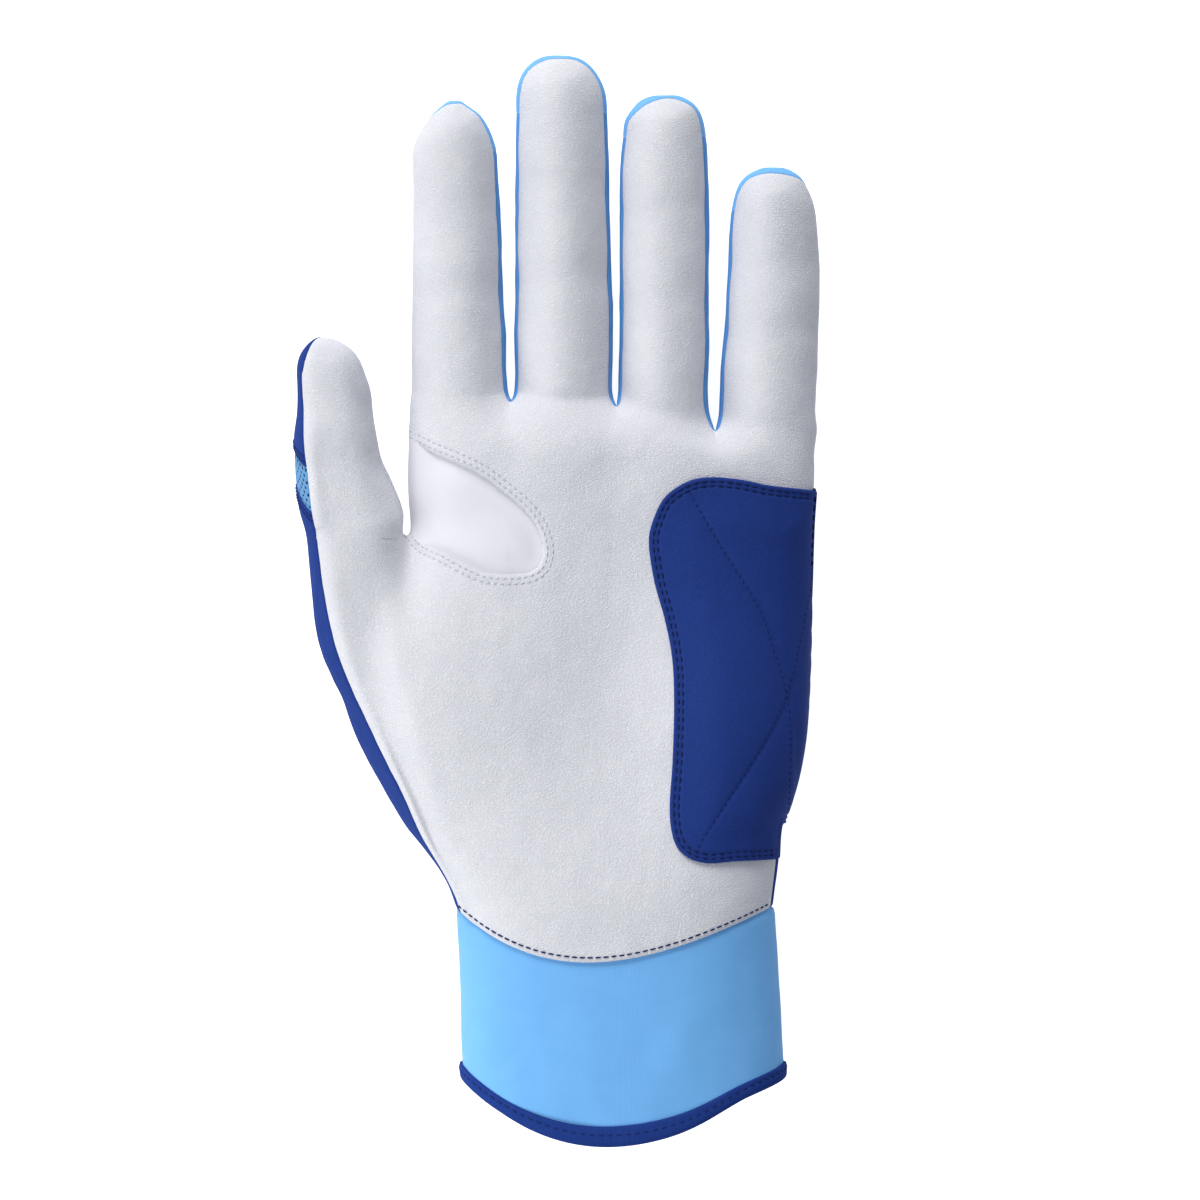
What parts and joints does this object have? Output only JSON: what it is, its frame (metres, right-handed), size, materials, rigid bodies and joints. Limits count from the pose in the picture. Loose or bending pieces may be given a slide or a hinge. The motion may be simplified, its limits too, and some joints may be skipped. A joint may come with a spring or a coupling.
{
  "type": "batting glove",
  "caption": "Left-hand batting glove with a leather palm, stretch fingers, a padded heel, a soft wrist cuff and a closing strap across the back of the wrist.",
  "frame": {"origin": "centre of the glove's footprint, at the level that it rests on", "axes": "+Y along the fingers, from the cuff to the fingertips; +Z out of the palm, so the glove lies on its back; +X towards the little finger"},
  "size_m": [0.122, 0.2524, 0.0425],
  "materials": {
    "white_leather": "fine-grained, satin, smooth",
    "royal_leather": "smooth synthetic leather, satin",
    "light_blue_fabric": "close stretch knit, matte",
    "light_blue_mesh": "perforated stretch mesh, matte",
    "royal_fabric": "close stretch knit, matte",
    "royal_loop": "napped hook-and-loop tape",
    "white_elastic": "ribbed elastic webbing",
    "grey_foam": "thin closed-cell foam"
  },
  "bodies": {
    "hand": {"palm_leather": "white_leather", "crotch_gusset": "white_leather", "heel_pad": "royal_leather", "heel_pad_foam": "grey_foam", "hand_back": "royal_fabric", "knuckle_panel": "light_blue_mesh", "thumb_side_panel": "royal_fabric", "index_middle_web": "light_blue_fabric", "middle_ring_web": "light_blue_fabric", "ring_little_web": "light_blue_fabric", "cuff": "light_blue_fabric", "cuff_binding": "royal_fabric", "slit_gusset": "royal_fabric", "wrist_elastic": "white_elastic", "loop_patch": "royal_loop"},
    "index_finger": {"index_front": "white_leather", "index_back": "light_blue_fabric", "index_little_side_fourchette": "light_blue_fabric"},
    "middle_finger": {"middle_front": "white_leather", "middle_back": "light_blue_fabric", "middle_thumb_side_fourchette": "light_blue_fabric", "middle_little_side_fourchette": "light_blue_fabric"},
    "ring_finger": {"ring_front": "white_leather", "ring_back": "light_blue_fabric", "ring_thumb_side_fourchette": "light_blue_fabric", "ring_little_side_fourchette": "light_blue_fabric"},
    "little_finger": {"little_front": "white_leather", "little_back": "light_blue_fabric", "little_thumb_side_fourchette": "light_blue_fabric"},
    "thumb": {"thumb_front": "white_leather", "thumb_base_back": "royal_fabric", "thumb_flex_mesh": "light_blue_mesh", "thumb_tip_back": "royal_fabric"},
    "closure_strap": {"strap": "royal_fabric", "hook_patch": "royal_loop"}
  },
  "joints": [
    {"name": "index_flex", "type": "hinge", "parent": "hand", "child": "index_finger", "pos_m": [-0.02296, 0.0455, 0.02646], "axis": [1, 0, 0], "range_deg": [0, 80]},
    {"name": "middle_flex", "type": "hinge", "parent": "hand", "child": "middle_finger", "pos_m": [0.00154, 0.04465, 0.02655], "axis": [1, 0, 0], "range_deg": [0, 80]},
    {"name": "ring_flex", "type": "hinge", "parent": "hand", "child": "ring_finger", "pos_m": [0.02504, 0.03922, 0.02625], "axis": [1, 0, 0], "range_deg": [0, 80]},
    {"name": "little_flex", "type": "hinge", "parent": "hand", "child": "little_finger", "pos_m": [0.04944, 0.03887, 0.02596], "axis": [1, 0, 0], "range_deg": [0, 80]},
    {"name": "thumb_flex", "type": "hinge", "parent": "hand", "child": "thumb", "pos_m": [-0.04502, 0.01328, 0.03236], "axis": [0.97, 0, -0.243], "range_deg": [0, 35]},
    {"name": "strap_peel", "type": "hinge", "parent": "hand", "child": "closure_strap", "pos_m": [-0.0193, -0.09487, 0.012], "axis": [0, 1, 0], "range_deg": [0, 85]}
  ]
}
